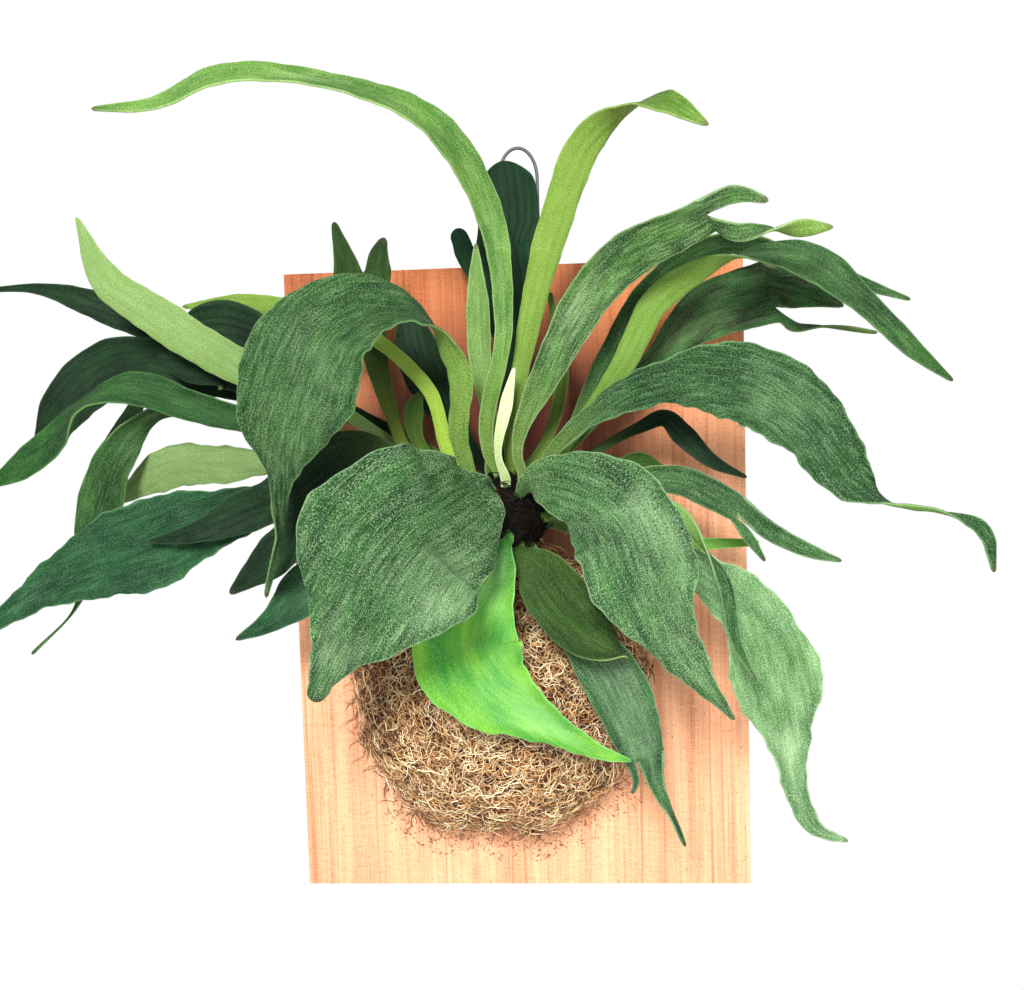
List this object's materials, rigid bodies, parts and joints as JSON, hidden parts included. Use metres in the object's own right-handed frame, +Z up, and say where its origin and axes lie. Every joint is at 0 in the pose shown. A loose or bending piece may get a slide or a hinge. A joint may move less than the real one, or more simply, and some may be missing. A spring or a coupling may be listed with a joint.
{
  "type": "mounted staghorn fern",
  "caption": "Staghorn fern with long forked and wavy fronds growing from a mound of dry moss on a flat cedar board, with a wire loop at the top to hang it by.",
  "frame": {"origin": "on the wall, straight behind the underside of the top of the wire loop, where the nail that holds the part up leaves the wall; the board's back face lies in the plane y = 0", "axes": "+X to the right as seen from the front, +Y into the wall along the back face's outward normal, +Z up"},
  "size_m": [0.561, 0.1786, 0.4717],
  "materials": {
    "cedar": "rough sawn",
    "wire": "galvanised, satin",
    "moss": "dry fibres",
    "crown": "dry scales, matt",
    "frond_deep": "felted, matt",
    "frond_grey": "felted, matt",
    "frond_mid": "felted, matt",
    "frond_light": "felted, matt",
    "frond_pale": "felted, matt",
    "frond_lime": "felted, matt",
    "frond_dark": "felted, matt",
    "frond_blue": "felted, matt",
    "frond_olive": "felted, matt",
    "frond_white": "woolly, matt"
  },
  "bodies": {
    "root": {"board": "cedar", "hanger_wire": "wire", "moss_mound": "moss", "crown": "crown", "frond_tall_left_arch": "frond_mid", "frond_young_pale_strap": "frond_pale", "frond_back_upright": "frond_dark", "frond_tall_right_strap": "frond_light", "frond_upper_right_broad": "frond_deep", "frond_thin_upright": "frond_light", "frond_right_inner_dark": "frond_deep", "frond_right_folded": "frond_deep", "frond_right_back_broad": "frond_dark", "frond_right_long_wavy": "frond_grey", "frond_right_small_dark": "frond_dark", "frond_right_stub": "frond_olive", "frond_lime_finger": "frond_lime", "frond_front_right_broad": "frond_grey", "frond_right_pronged": "frond_grey", "frond_right_narrow_twist": "frond_grey", "frond_lower_right_broad": "frond_grey", "frond_front_round": "frond_grey", "frond_front_lime": "frond_lime", "frond_lower_olive": "frond_olive", "frond_lower_middle": "frond_grey", "frond_left_pronged": "frond_dark", "frond_lower_left_blade": "frond_blue", "frond_left_arch_broad": "frond_deep", "frond_two_pronged_olive": "frond_olive", "frond_left_light_strap": "frond_light", "frond_left_pale": "frond_pale", "frond_left_back_round": "frond_dark", "frond_left_back_broad": "frond_dark", "frond_left_green_arch": "frond_deep", "frond_left_long_broad": "frond_blue", "frond_left_pale_wide": "frond_pale", "frond_left_twisted": "frond_deep", "frond_far_left_point": "frond_dark", "frond_young_white_tip": "frond_white", "frond_young_olive": "frond_olive", "frond_young_dark": "frond_dark"}
  },
  "joints": []
}
